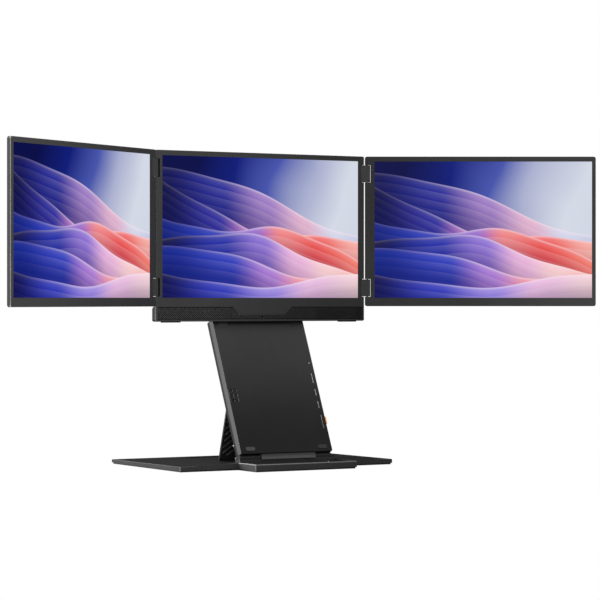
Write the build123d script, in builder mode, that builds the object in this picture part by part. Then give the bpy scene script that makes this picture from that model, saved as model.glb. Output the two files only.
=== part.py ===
from build123d import *
import os
from math import sin, cos, radians

os.makedirs("parts", exist_ok=True)

# ---------------------------------------------------------------------------
# Triple portable screen on its own folding stand. Millimetres.
# X runs across the screens, Y runs from the user's side (-Y) to the back (+Y),
# Z is up. X = 0 is the middle of the centre screen and Y = 0 is the plane of
# its front. Heights are drawn from a datum near the underside of the base
# cover, which stands LIFT above the table; save() raises every piece by that,
# so Z = 0 of the finished pieces is the table.
# ---------------------------------------------------------------------------

LIFT = 1.9                # tray and rubber strips below the datum


def save(piece, name):
    """Raise a piece onto the table, name it and write its file."""
    placed = piece.moved(Location((0, 0, LIFT)))
    placed.label = name
    export_step(placed, "parts/" + name + ".step")


# --- display modules (14 inch, 16:10) ---
DISP_W = 301.6            # visible picture width
DISP_H = 188.5            # visible picture height
DISP_Z0 = 224.7           # bottom of the picture above the datum
DISP_Z1 = DISP_Z0 + DISP_H
LIP = 0.8                 # frame lip in front of the glass

# --- centre screen ---
CEN_HALF_W = 161.8
CEN_Z0 = 193.0
CEN_Z1 = 420.1
CEN_T = 7.6               # thickness above the chin
CHIN_T = 9.8              # thickness of the chin
CHIN_Z1 = 211.9           # top of the thick part
CEN_SPLIT = 3.0           # front frame depth
SIDE_ROUND, SIDE_BEVEL = 2.0, 2.6     # front and back of its two side edges
GRILLE_HALF_W = 158.5
GRILLE_Z0, GRILLE_Z1 = 195.8, 212.5
PLATE_Z = 203.1           # underside of the plain plate in the grille's middle
CEN_VIEW_W = 303.0        # opening of the frame in front of the picture

# --- side screens ---
WING_W = 319.4
WING_Z0 = 213.15
WING_Z1 = 420.1
WING_T = 6.6
WING_SPLIT = 2.4
WING_ROUND, WING_BEVEL = 1.6, 1.8     # front and back of its inner edge
WING_IN = 12.55           # inner bezel width
WING_TURN = 30.0          # turned towards the user as it stands

# --- double-axis side hinges ---
HINGE_CX = 158.5          # axis in the centre screen's edge
HINGE_CY = 3.3
HINGE_S = 8.4             # distance between the two axes
LINK_TURN = 22.0          # turn of the hinge block as it stands
HINGE_IN = 3.2            # axis inside the side screen's edge
HINGE_DEPTH = 3.3         # axis behind the side screen's front
BLOCK_R = 2.3             # half the thickness of a hinge block
BLOCK_IN, BLOCK_OUT = 1.9, 4.0  # its ends beyond the two axes
BLOCK_H = 23.5
BLOCK_ZS = (396.3, 238.5)
CUT_ZS = ((384.1, 408.5), (226.3, 250.7))
CUT_CX = 155.4            # end wall of the cut-out in the centre screen
CUT_WING = 7.8            # depth of the cut-out in the side screen
SIDE_PIN_R = 1.2
SIDE_BORE_R = 1.25

# --- stand panel ---
LEAN = 24.8               # lean back from upright as it stands
HY, HZ = -60.0, 13.0      # lower hinge axis
PAN_HALF_W = 70.0
PAN_U0, PAN_U1 = 2.55, 198.6    # distance along the panel from the lower axis
PAN_FRONT, PAN_BACK = 10.0, -6.0
PAN_SPLIT = -1.0
PAN_WALL = 1.8
PIN_R = 2.45
BORE_R = 2.5
TOP_U, TOP_Z = 204.0, 2.0       # screen hinge axis in the panel's own frame

# --- kickstand ---
KICK_U, KICK_Z = 92.0, -1.0     # pivot in the panel's own frame
KICK_L = 101.5                  # pivot to the tip of the foot
KICK_TOP_HALF = 63.0
KICK_TIP_HALF = 56.0
KICK_T = 3.0

# --- base ---
BASE_HALF_W = 162.4
BASE_FRONT, BASE_BACK = -71.6, 131.6
BASE_Z0 = 0.4
TRAY_Z0 = -1.5            # underside of the bottom tray
BASE_TOP_F, BASE_TOP_B = 5.8, 4.6
BLOCK_HALF_W = 77.1
BLOCK_FRONT = -119.4
BLOCK_TOP = 8.6
SHOULDER_X, SHOULDER_Y = 137.0, -40.0   # where the two shoulders run out
FLOOR_Z = 6.6
RECESS_HALF_W = 57.2
FLOOR_SCREW = (53.0, -85.0)
RECESS_Z = 3.5

# --- working planes ---
sL, cL = sin(radians(LEAN)), cos(radians(LEAN))
PANEL = Plane(origin=(0, HY, HZ), x_dir=(1, 0, 0), z_dir=(0, -cL, sL))


def panel_point(x, u, z):
    """A point given across, along and out of the stand panel."""
    return (x, HY + u * sL - z * cL, HZ + u * cL + z * sL)


TY, TZ = panel_point(0, TOP_U, TOP_Z)[1:]
KY, KZ = panel_point(0, KICK_U, KICK_Z)[1:]
STRUT = Plane(origin=(0, KY, KZ), x_dir=(1, 0, 0), z_dir=(0, -cL, -sL))

aL = radians(LINK_TURN)
aW = radians(WING_TURN)
WX = HINGE_CX + HINGE_S * cos(aL)
WY = HINGE_CY - HINGE_S * sin(aL)
LINK = Plane(origin=(HINGE_CX, HINGE_CY, 0), x_dir=(cos(aL), -sin(aL), 0), z_dir=(0, 0, 1))
# side screen: x outward from the hinge axis, y up, z towards the viewer
WING = Plane(origin=(WX, WY, 0), x_dir=(cos(aW), -sin(aW), 0), z_dir=(-sin(aW), -cos(aW), 0))
# underside of the side screen: x outward, y backward
WING_FOOT = Plane(origin=(WX, WY, WING_Z0 - 1), x_dir=(cos(aW), -sin(aW), 0), z_dir=(0, 0, 1))
WING_A0 = -HINGE_IN
WING_A1 = WING_W - HINGE_IN
WING_AC = (WING_A0 + WING_A1) / 2
WING_ZC = (WING_Z0 + WING_Z1) / 2
WDISP_A0 = WING_A0 + WING_IN
WDISP_AC = WDISP_A0 + DISP_W / 2
DISP_ZC = (DISP_Z0 + DISP_Z1) / 2
CEN_ZC = (CEN_Z0 + CEN_Z1) / 2


# ---------------------------------------------------------------------------
# Base
# ---------------------------------------------------------------------------

# T-shaped cover: a thin wedge-shaped plate, two low shoulders that rise to the
# front block, and the block with its rim round a sunk floor
with BuildPart() as base_cover:
    with BuildSketch(Plane.YZ.offset(-BASE_HALF_W)):
        with BuildLine():
            Polyline((BASE_FRONT, BASE_Z0), (BASE_FRONT, BASE_TOP_F),
                     (BASE_BACK, BASE_TOP_B), (BASE_BACK, BASE_Z0), close=True)
        make_face()
    extrude(amount=2 * BASE_HALF_W)
    fillet(base_cover.edges().filter_by(Axis.Z), 1.6)
    chamfer(base_cover.faces().sort_by(Axis.Z)[-1].edges(), 0.5)
    for s in (-1, 1):
        with BuildPart(mode=Mode.PRIVATE) as shoulder:
            with BuildSketch(Plane.XY.offset(3.0)):
                with BuildLine():
                    Polyline((s * BLOCK_HALF_W, BASE_FRONT), (s * SHOULDER_X, BASE_FRONT),
                             (s * SHOULDER_X, SHOULDER_Y), (s * BLOCK_HALF_W, SHOULDER_Y), close=True)
                make_face()
            extrude(amount=BLOCK_TOP - 3.0 + 1)
            run, rise, fall = SHOULDER_X - BLOCK_HALF_W, BLOCK_TOP - BASE_TOP_F, SHOULDER_Y - BASE_FRONT
            slope = Plane(origin=(s * SHOULDER_X, BASE_FRONT, BASE_TOP_F), x_dir=(s * run, 0, -rise),
                          z_dir=(s * rise / run, (rise + 0.2) / fall, 1))
            split(bisect_by=slope, keep=Keep.BOTTOM)
        add(shoulder.part)
    with BuildPart(mode=Mode.PRIVATE) as front_block:
        with BuildSketch(Plane.XY.offset(BASE_Z0)):
            with Locations((0, (BLOCK_FRONT + BASE_FRONT - 1) / 2)):
                Rectangle(2 * BLOCK_HALF_W, BASE_FRONT - 1 - BLOCK_FRONT)
        extrude(amount=BLOCK_TOP - BASE_Z0)
        fillet(front_block.edges().filter_by(Axis.Z).group_by(Axis.Y)[0], 1.6)
        chamfer(front_block.faces().sort_by(Axis.Z)[-1].edges().sort_by(Axis.Y)[:-1], 1.0)
    add(front_block.part)
    with BuildSketch(Plane.XY.offset(BASE_Z0)):
        with Locations((0, BASE_FRONT + 0.5)):
            Rectangle(2 * BLOCK_HALF_W, 3)
    extrude(amount=BLOCK_TOP - BASE_Z0)
    # sunk floor of the block and the deck under the hinge
    with BuildSketch(Plane.XY.offset(FLOOR_Z)):
        with Locations((0, (BLOCK_FRONT + 1.7 - 60) / 2)):
            Rectangle(2 * (BLOCK_HALF_W - 1.7), -60 - BLOCK_FRONT - 1.7)
    extrude(amount=10, mode=Mode.SUBTRACT)
    with BuildSketch(Plane.XY.offset(BASE_Z0)):
        with Locations((0, -61)):
            Rectangle(2 * BLOCK_HALF_W, 18)
    extrude(amount=FLOOR_Z - BASE_Z0)
    with BuildSketch(Plane.XY.offset(FLOOR_Z)):
        with Locations((0, -60.65)):
            Rectangle(2 * BLOCK_HALF_W, 17.3)
    extrude(amount=10, mode=Mode.SUBTRACT)
    # track for the kickstand's foot
    with BuildSketch(Plane.XY.offset(RECESS_Z)):
        with Locations((0, 39.5)):
            Rectangle(2 * RECESS_HALF_W, 159)
    extrude(amount=10, mode=Mode.SUBTRACT)
    # hollow underside
    with BuildSketch(Plane.XY.offset(-1)):
        with Locations((0, 30)):
            Rectangle(2 * (BASE_HALF_W - 1.7), 199.8)
    extrude(amount=3.2, mode=Mode.SUBTRACT)
    with BuildSketch(Plane.XY.offset(2.0)):
        with Locations((-109, 30), (109, 30)):
            Rectangle(2 * (BASE_HALF_W - 1.7 - 109), 199.8)
    extrude(amount=1.1, mode=Mode.SUBTRACT)
    with BuildSketch(Plane.XY.offset(-1)):
        with Locations((0, -90)):
            Rectangle(2 * (BLOCK_HALF_W - 1.7), 55.4)
    extrude(amount=6.0, mode=Mode.SUBTRACT)
    with Locations((*FLOOR_SCREW, 5.0)):
        Cylinder(1.05, 6, mode=Mode.SUBTRACT)
save(base_cover.part, "base_cover")

# rubber strips the stand rests on, half sunk in grooves of the tray
FEET_OUTLINE = (((-130, 30), 180), ((130, 30), 180), ((0, 5), 232))

# bottom tray: it shows as a dark band, a little inside the cover's skirt
with BuildPart() as base_pan:
    with BuildSketch(Plane.XY.offset(TRAY_Z0)):
        with Locations((0, 30)):
            Rectangle(2 * (BASE_HALF_W - 1.9), 199.4)
        with Locations((0, -90)):
            Rectangle(2 * (BLOCK_HALF_W - 1.9), 55.0)
    extrude(amount=2.6)
    with BuildSketch(Plane.XY.offset(TRAY_Z0 + 0.8)):
        with Locations((0, 30)):
            Rectangle(2 * (BASE_HALF_W - 3.4), 196.4)
        with Locations((0, -90)):
            Rectangle(2 * (BLOCK_HALF_W - 3.4), 52.0)
    extrude(amount=5, mode=Mode.SUBTRACT)
    with BuildSketch(Plane.XY.offset(TRAY_Z0)):
        for place, length in FEET_OUTLINE:
            with Locations(place):
                SlotOverall(length, 14, rotation=90)
    extrude(amount=0.4, mode=Mode.SUBTRACT)
save(base_pan.part, "base_pan")

with BuildPart() as base_feet:
    with BuildSketch(Plane.XY.offset(-LIFT)):
        for place, length in FEET_OUTLINE:
            with Locations(place):
                SlotOverall(length, 14, rotation=90)
    extrude(amount=TRAY_Z0 + 0.4 + LIFT)
save(base_feet.part, "base_feet")

# steel plates that keep the stand from tipping
with BuildPart() as base_ballast:
    with BuildSketch(Plane.XY.offset(TRAY_Z0 + 0.8)):
        with Locations((-108.5, 30), (108.5, 30)):
            Rectangle(94, 188)
    extrude(amount=2.0)
    with BuildSketch(Plane.XY.offset(TRAY_Z0 + 0.8)):
        with Locations((0, -90.5)):
            Rectangle(144, 50)
    extrude(amount=4.0)
save(base_ballast.part, "base_ballast")

# small screw in the block's sunk floor
with BuildPart() as floor_screw:
    with BuildSketch(Plane.XY.offset(5.2)):
        with Locations(FLOOR_SCREW):
            Circle(1.0)
    extrude(amount=2.0)
    fillet(floor_screw.edges().group_by(Axis.Z)[-1], 0.4)
save(floor_screw.part, "floor_screw")

# raised bar with end cheeks that hold the lower hinge pins
with BuildPart() as hinge_rail:
    with BuildSketch(Plane.XY.offset(FLOOR_Z)):
        with Locations((-57.15, -67.1), (57.15, -67.1)):
            Rectangle(31.7, 4.0)
        with Locations((-71.75, -62.55), (71.75, -62.55)):
            Rectangle(2.5, 13.1)
    extrude(amount=15.6 - FLOOR_Z)
    corners = hinge_rail.edges().filter_by(Axis.Z).group_by(Axis.Y)[0].sort_by(Axis.X)
    fillet([corners[0], corners[-1]], 1.5)
    fillet(hinge_rail.edges().filter_by(Axis.X).group_by(Axis.Z)[-1].group_by(Axis.Y)[-1], 4.2)
    fillet(hinge_rail.edges().filter_by(Axis.X).group_by(Axis.Z)[-1].group_by(Axis.Y)[0], 1.0)
    # low middle part of the bar, under the housing's strip
    with BuildSketch(Plane.XY.offset(FLOOR_Z)):
        with Locations((0, -67.1)):
            Rectangle(82.8, 4.0)
    extrude(amount=11.8 - FLOOR_Z)
    with Locations((0, HY, HZ)):
        Cylinder(BORE_R, 160, rotation=(0, 90, 0), mode=Mode.SUBTRACT)
save(hinge_rail.part, "hinge_rail")

# middle hinge housing with its light sloping front strip
with BuildPart() as hinge_housing:
    with BuildSketch(Plane.YZ.offset(-41)):
        with BuildLine():
            Polyline((-64.9, FLOOR_Z), (-64.9, 11.8), (-72.3, 11.8), (-72.1, 13.0), (-70.3, 18.7), (-69.0, 18.7),
                     (-67.2, 14.4), (-62, 12.5), (-60.5, 9.0), (-60.5, FLOOR_Z), close=True)
        make_face()
        with Locations((HY, HZ)):
            Circle(5.2)
    extrude(amount=82)
    with Locations((0, HY, HZ)):
        Cylinder(BORE_R, 90, rotation=(0, 90, 0), mode=Mode.SUBTRACT)
save(hinge_housing.part, "hinge_housing")

# two steel pins of the lower hinge, with rounded ends outside the cheeks
with BuildPart() as lower_hinge_pins:
    with Locations((-55.75, HY, HZ), (55.75, HY, HZ)):
        Cylinder(PIN_R, 37.7, rotation=(0, 90, 0))
    ends = lower_hinge_pins.edges().sort_by(Axis.X)
    fillet([ends[0], ends[-1]], 1.3)
save(lower_hinge_pins.part, "lower_hinge_pins")


# ---------------------------------------------------------------------------
# Stand panel: a flat box that holds the driver board
# ---------------------------------------------------------------------------

PAN_UC = (PAN_U0 + PAN_U1) / 2
PAN_LEN = PAN_U1 - PAN_U0
SW_Z = 6.2                # buttons and switch sit near the front of the side face

with BuildPart() as panel_front:
    with BuildSketch(PANEL.offset(PAN_SPLIT)):
        with Locations((0, PAN_UC)):
            RectangleRounded(2 * PAN_HALF_W, PAN_LEN, 2.2)
    extrude(amount=PAN_FRONT - PAN_SPLIT)
    fillet(panel_front.faces().sort_by(Axis((0, HY, HZ), (0, -cL, sL)))[-1].edges(), 0.8)
    with BuildSketch(PANEL.offset(PAN_SPLIT)):
        with Locations((0, PAN_UC)):
            Rectangle(2 * (PAN_HALF_W - PAN_WALL), PAN_LEN - 2 * PAN_WALL)
    extrude(amount=PAN_FRONT - 1.6 - PAN_SPLIT, mode=Mode.SUBTRACT)
    # room round the lower hinge
    with Locations((0, HY, HZ)):
        Cylinder(6.2, 84.6, rotation=(0, 90, 0), mode=Mode.SUBTRACT)
    with Locations((0, HY, HZ)):
        Cylinder(4.9, 160, rotation=(0, 90, 0), mode=Mode.SUBTRACT)
    # windows in the right side: switch, two buttons, two sockets
    with BuildSketch(Plane(origin=panel_point(PAN_HALF_W + 1, 0, 0), x_dir=(0, sL, cL), z_dir=(1, 0, 0))) as windows:
        with Locations((49.5, SW_Z)):
            Rectangle(13.4, 4.0)
        with Locations((84.8, SW_Z), (66.2, SW_Z)):
            RectangleRounded(6.0, 3.4, 1.2)
        with Locations((101.0, 3.4), (115.0, 3.4)):
            SlotOverall(9.2, 3.3)
    extrude(amount=-6, mode=Mode.SUBTRACT)
    # six shallow square vent recesses near the left edge, four small holes in each
    with BuildSketch(PANEL.offset(PAN_FRONT - 1.0)):
        with Locations((-62.0, 85.6)):
            with GridLocations(5.8, 7.45, 2, 3):
                RectangleRounded(4.2, 4.8, 0.5)
    extrude(amount=3, mode=Mode.SUBTRACT)
    with BuildSketch(PANEL.offset(PAN_FRONT + 1)):
        with Locations((-62.0, 85.6)):
            with GridLocations(5.8, 7.45, 2, 3):
                with GridLocations(1.8, 2.0, 2, 2):
                    Circle(0.5)
        # hole for the status light
        with Locations((64.6, 131.0)):
            Circle(0.85)
    extrude(amount=-3.5, mode=Mode.SUBTRACT)
save(panel_front.part, "panel_front")

# back shell with the pocket that the kickstand folds into
with BuildPart() as panel_back:
    with BuildSketch(PANEL.offset(PAN_BACK)):
        with Locations((0, PAN_UC)):
            RectangleRounded(2 * PAN_HALF_W, PAN_LEN, 2.2)
    extrude(amount=PAN_SPLIT - PAN_BACK)
    fillet(panel_back.faces().sort_by(Axis((0, HY, HZ), (0, -cL, sL)))[0].edges(), 1.0)
    with BuildSketch(PANEL.offset(PAN_BACK + 1.5)):
        with Locations((0, PAN_UC)):
            Rectangle(2 * (PAN_HALF_W - PAN_WALL), PAN_LEN - 2 * PAN_WALL)
    extrude(amount=10, mode=Mode.SUBTRACT)
    with BuildSketch(PANEL.offset(PAN_BACK)):
        with Locations((0, (80.2 + 196.8) / 2)):
            Rectangle(2 * 66.4, 196.8 - 80.2)
    extrude(amount=4.2 - PAN_BACK)
    with BuildSketch(PANEL.offset(PAN_BACK - 1)):
        with Locations((0, (82.0 + 195.2) / 2)):
            Rectangle(2 * 64.6, 195.2 - 82.0)
    extrude(amount=2.8 - PAN_BACK + 1, mode=Mode.SUBTRACT)
    with Locations((0, HY, HZ)):
        Cylinder(6.2, 84.6, rotation=(0, 90, 0), mode=Mode.SUBTRACT)
    with Locations((0, HY, HZ)):
        Cylinder(4.9, 160, rotation=(0, 90, 0), mode=Mode.SUBTRACT)
    # bores for the kickstand's pins, through the pocket's side walls
    with Locations((0, KY, KZ)):
        Cylinder(1.5, 2 * 67, rotation=(0, 90, 0), mode=Mode.SUBTRACT)
    # holes for the side screws
    for u in (19.8, 182.0):
        with Locations(panel_point(0, u, -4.1)):
            Cylinder(1.1, 150, rotation=(0, 90, 0), mode=Mode.SUBTRACT)
save(panel_back.part, "panel_back")

with BuildPart() as case_screws:
    for u in (19.8, 182.0):
        with Locations(panel_point(-69.8, u, -4.1), panel_point(69.8, u, -4.1)):
            Cylinder(1.05, 2.6, rotation=(0, 90, 0))
save(case_screws.part, "case_screws")

# four pill-shaped rubber pads that keep the closed screens off the panel
with BuildPart() as panel_pads:
    with BuildSketch(PANEL.offset(PAN_FRONT)):
        with Locations((-55, 9.2), (55, 9.2), (-55, 189.3), (55, 189.3)):
            SlotOverall(14, 5.4)
    extrude(amount=0.8)
save(panel_pads.part, "panel_pads")

# driver board with its chips
with BuildPart() as driver_board:
    with BuildSketch(PANEL.offset(0.6)):
        with Locations((4, 51)):
            Rectangle(122, 54)
    extrude(amount=1.6)
    with BuildSketch(PANEL.offset(2.2)):
        with Locations((-8, 48), (-36, 56)):
            Rectangle(16, 16)
        with Locations((16, 60), (30, 44)):
            Rectangle(9, 7)
    extrude(amount=1.2)
save(driver_board.part, "driver_board")

# heat spreader over the upper half, between the pocket and the front
with BuildPart() as heat_spreader:
    with BuildSketch(PANEL.offset(6.0)):
        with Locations((0, 110)):
            Rectangle(124, 150)
    extrude(amount=0.6)
save(heat_spreader.part, "heat_spreader")

# two USB-C sockets in the right side
with BuildPart() as port_sockets:
    for u in (101.0, 115.0):
        with BuildSketch(Plane(origin=panel_point(PAN_HALF_W - 0.2, 0, 0), x_dir=(0, sL, cL), z_dir=(1, 0, 0))):
            with Locations((u, 3.4)):
                SlotOverall(9.0, 3.1)
        extrude(amount=-1.5)
        with BuildSketch(Plane(origin=panel_point(PAN_HALF_W - 0.2, 0, 0), x_dir=(0, sL, cL), z_dir=(1, 0, 0))):
            with Locations((u, 3.4)):
                SlotOverall(8.4, 2.5)
                Rectangle(6.4, 0.7, mode=Mode.SUBTRACT)
        extrude(amount=-1.2, mode=Mode.SUBTRACT)
save(port_sockets.part, "port_sockets")

with BuildPart() as status_led:
    with BuildSketch(PANEL.offset(8.2)):
        with Locations((64.6, 131.0)):
            Circle(0.8)
    extrude(amount=1.9)
save(status_led.part, "status_led")

# steel knuckles that hang the panel on the lower hinge
with BuildPart() as lower_hinge_bracket:
    with Locations((-56.2, HY, HZ), (56.2, HY, HZ)):
        Cylinder(4.5, 26.8, rotation=(0, 90, 0))
    with BuildSketch(PANEL.offset(-1.2)):
        with Locations((-56.2, 9.5), (56.2, 9.5)):
            Rectangle(22, 19)
    extrude(amount=1.7)
    with Locations((0, HY, HZ)):
        Cylinder(BORE_R, 160, rotation=(0, 90, 0), mode=Mode.SUBTRACT)
save(lower_hinge_bracket.part, "lower_hinge_bracket")

# lugs on the panel's top edge for the screen hinge
with BuildPart() as upper_hinge_lugs:
    with Locations((-54.2, TY, TZ), (54.2, TY, TZ)):
        Cylinder(4.5, 23.6, rotation=(0, 90, 0))
    with BuildSketch(PANEL.offset(-1.6)):
        with Locations((-54.2, (PAN_U1 + TOP_U) / 2), (54.2, (PAN_U1 + TOP_U) / 2)):
            Rectangle(23.6, TOP_U - PAN_U1)
    extrude(amount=7.2)
    with Locations((0, TY, TZ)):
        Cylinder(BORE_R, 150, rotation=(0, 90, 0), mode=Mode.SUBTRACT)
save(upper_hinge_lugs.part, "upper_hinge_lugs")

with BuildPart() as screen_hinge_pins:
    with Locations((-51.5, TY, TZ), (51.5, TY, TZ)):
        Cylinder(PIN_R, 30, rotation=(0, 90, 0))
save(screen_hinge_pins.part, "screen_hinge_pins")

with BuildPart() as kickstand_pins:
    with Locations((-59.0, KY, KZ), (59.0, KY, KZ)):
        Cylinder(1.48, 14.6, rotation=(0, 90, 0))
save(kickstand_pins.part, "kickstand_pins")


# ---------------------------------------------------------------------------
# Switch and buttons in the panel's right side
# ---------------------------------------------------------------------------

SIDE = Plane(origin=panel_point(PAN_HALF_W, 0, 0), x_dir=(0, sL, cL), z_dir=(1, 0, 0))

with BuildPart() as power_switch:
    with BuildSketch(SIDE.offset(-1.6)):
        with Locations((48.2, SW_Z)):
            RectangleRounded(10.2, 3.4, 0.8)
    extrude(amount=4.4)
    # finger ridges across the knob
    with BuildSketch(SIDE.offset(2.4)):
        with Locations((45.2, SW_Z), (47.2, SW_Z), (49.2, SW_Z), (51.2, SW_Z)):
            Rectangle(0.7, 4.0)
    extrude(amount=1, mode=Mode.SUBTRACT)
    # slide plate inside the case
    with BuildSketch(SIDE.offset(-3.4)):
        with Locations((48.2, SW_Z)):
            Rectangle(8.0, 3.4)
    extrude(amount=1.8)
save(power_switch.part, "power_switch")

for name, u in (("menu_button", 84.8), ("brightness_button", 66.2)):
    with BuildPart() as button:
        with BuildSketch(SIDE.offset(-2.4)):
            with Locations((u, SW_Z)):
                RectangleRounded(5.6, 3.0, 1.0)
        extrude(amount=3.4)
        fillet(button.faces().sort_by(Axis.X)[-1].edges(), 0.4)
    save(button.part, name)


# ---------------------------------------------------------------------------
# Kickstand
# ---------------------------------------------------------------------------

with BuildPart() as kickstand:
    with BuildSketch(STRUT.offset(-KICK_T / 2)):
        with BuildLine():
            Polyline((-KICK_TOP_HALF, 0), (KICK_TOP_HALF, 0),
                     (KICK_TIP_HALF, -(KICK_L - 6)), (-KICK_TIP_HALF, -(KICK_L - 6)), close=True)
        make_face()
    extrude(amount=KICK_T)
    # diagonal stiffening ribs on the front face
    with BuildSketch(STRUT.offset(KICK_T / 2)):
        with Locations(*[(x, -y) for y in range(16, 90, 10) for x in (-41, -21, -1, 19, 39)]):
            Rectangle(16, 1.2, rotation=43)
    extrude(amount=0.7)
    with Locations((0, KY, KZ)):
        Cylinder(2.6, 2 * KICK_TOP_HALF, rotation=(0, 90, 0))
    with Locations((-57, KY, KZ), (57, KY, KZ)):
        Cylinder(1.55, 12, rotation=(0, 90, 0), mode=Mode.SUBTRACT)
save(kickstand.part, "kickstand")

with BuildPart() as kickstand_foot:
    with BuildSketch(STRUT.offset(-KICK_T / 2)):
        with Locations((0, -(KICK_L - 3))):
            Rectangle(2 * KICK_TIP_HALF, 6)
    extrude(amount=KICK_T)
    fillet(kickstand_foot.edges().filter_by(Axis.X).sort_by(Axis.Z)[:2], 1.45)
save(kickstand_foot.part, "kickstand_foot")


# ---------------------------------------------------------------------------
# Centre screen
# ---------------------------------------------------------------------------

with BuildPart() as centre_bezel:
    with BuildSketch(Plane.XZ.offset(-CEN_SPLIT)):
        with Locations((0, CEN_ZC)):
            RectangleRounded(2 * CEN_HALF_W, CEN_Z1 - CEN_Z0, 3.0)
    extrude(amount=CEN_SPLIT)
    fillet(centre_bezel.faces().sort_by(Axis.Y)[0].edges(), 0.7)
    # rounder side edges, beside the side hinges
    with BuildSketch(Plane.XY.offset(CEN_Z0 - 1)):
        with Locations(*[(s * (CEN_HALF_W + (1 - SIDE_ROUND) / 2), (SIDE_ROUND - 1) / 2) for s in (-1, 1)]):
            Rectangle(SIDE_ROUND + 1, SIDE_ROUND + 1)
        with Locations(*[(s * (CEN_HALF_W - SIDE_ROUND), SIDE_ROUND) for s in (-1, 1)]):
            Circle(SIDE_ROUND, mode=Mode.SUBTRACT)
    extrude(amount=CEN_Z1 - CEN_Z0 + 2, mode=Mode.SUBTRACT)
    # window for the picture
    with BuildSketch(Plane.XZ.offset(1)):
        with Locations((0, DISP_ZC)):
            Rectangle(CEN_VIEW_W, DISP_H)
    extrude(amount=-6, mode=Mode.SUBTRACT)
    # seat of the display module
    with BuildSketch(Plane.XZ.offset(-LIP)):
        with Locations((0, DISP_ZC)):
            Rectangle(DISP_W + 4.6, DISP_H + 4.8)
    extrude(amount=-6, mode=Mode.SUBTRACT)
    # hollow of the chin
    with BuildSketch(Plane.XZ.offset(-1.5)):
        with Locations((0, (194.9 + 214.6) / 2)):
            Rectangle(2 * 158.6, 214.6 - 194.9)
    extrude(amount=-6, mode=Mode.SUBTRACT)
    # grille window round a plain plate in the middle
    with BuildSketch(Plane.XZ.offset(1)):
        with BuildLine():
            g, z0, z1, z2 = GRILLE_HALF_W + 0.1, GRILLE_Z0 - 0.1, PLATE_Z + 0.1, GRILLE_Z1 + 0.1
            Polyline((-g, z0), (g, z0), (g, z2), (45.5, z2), (35.4, z1), (-35.4, z1), (-45.5, z2), (-g, z2), close=True)
        make_face()
    extrude(amount=-6, mode=Mode.SUBTRACT)
    # cut-outs and bores of the side hinges
    for z0, z1 in CUT_ZS:
        with Locations((-165, 4, (z0 + z1) / 2), (165, 4, (z0 + z1) / 2)):
            Box(2 * (165 - CUT_CX), 20, z1 - z0, mode=Mode.SUBTRACT)
    with Locations(*[(s * HINGE_CX, HINGE_CY, z) for s in (-1, 1) for z in BLOCK_ZS]):
        Cylinder(SIDE_BORE_R, 37, mode=Mode.SUBTRACT)
save(centre_bezel.part, "centre_bezel")

with BuildPart() as centre_back:
    with BuildSketch(Plane.XZ.offset(-CEN_T)):
        with Locations((0, CEN_ZC)):
            RectangleRounded(2 * CEN_HALF_W, CEN_Z1 - CEN_Z0, 3.0)
    extrude(amount=CEN_T - CEN_SPLIT)
    chamfer(centre_back.faces().sort_by(Axis.Y)[-1].edges(), 1.5)
    # wider bevel along the sides, beside the side hinges
    for s in (-1, 1):
        with BuildSketch(Plane.XY.offset(CHIN_Z1)):
            with BuildLine():
                Polyline((s * (CEN_HALF_W - SIDE_BEVEL - 1), CEN_T + 1), (s * (CEN_HALF_W + 1), CEN_T + 1),
                         (s * (CEN_HALF_W + 1), CEN_T - SIDE_BEVEL - 1), close=True)
            make_face()
        extrude(amount=CEN_Z1 - CHIN_Z1 + 1, mode=Mode.SUBTRACT)
    # thick chin with a sloping top
    with BuildSketch(Plane.YZ.offset(-CEN_HALF_W)):
        with BuildLine():
            Polyline((CEN_SPLIT, CEN_Z0), (CHIN_T - 1.5, CEN_Z0), (CHIN_T, CEN_Z0 + 1.5),
                     (CHIN_T, CHIN_Z1 - 2.5), (CEN_T, CHIN_Z1 + 0.6), (CEN_SPLIT, CHIN_Z1 + 0.6), close=True)
        make_face()
    extrude(amount=2 * CEN_HALF_W)
    fillet(centre_back.edges().filter_by(Axis.Y).group_by(Axis.Z)[0], 2.0)
    with BuildSketch(Plane.XZ.offset(0)):
        with Locations((0, DISP_ZC)):
            Rectangle(DISP_W + 4.6, DISP_H + 4.8)
    extrude(amount=-(CEN_T - 1.4), mode=Mode.SUBTRACT)
    with BuildSketch(Plane.XZ.offset(0)):
        with Locations((0, (194.9 + 209.4) / 2)):
            Rectangle(2 * 156.0, 209.4 - 194.9)
    extrude(amount=-(CHIN_T - 1.5), mode=Mode.SUBTRACT)
    for z0, z1 in CUT_ZS:
        with Locations((-165, 4, (z0 + z1) / 2), (165, 4, (z0 + z1) / 2)):
            Box(2 * (165 - CUT_CX), 20, z1 - z0, mode=Mode.SUBTRACT)
    with Locations(*[(s * HINGE_CX, HINGE_CY, z) for s in (-1, 1) for z in BLOCK_ZS]):
        Cylinder(SIDE_BORE_R, 37, mode=Mode.SUBTRACT)
save(centre_back.part, "centre_back")

with BuildPart() as centre_lcd:
    with BuildSketch(Plane.XZ.offset(-LIP)):
        with Locations((0, DISP_ZC)):
            Rectangle(DISP_W + 4.0, DISP_H + 4.2)
    extrude(amount=-2.6)
save(centre_lcd.part, "centre_lcd")

with BuildPart() as centre_backlight:
    with BuildSketch(Plane.XZ.offset(-3.4)):
        with Locations((0, DISP_ZC)):
            Rectangle(DISP_W + 2.0, DISP_H + 2.0)
    extrude(amount=-2.2)
save(centre_backlight.part, "centre_backlight")

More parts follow.
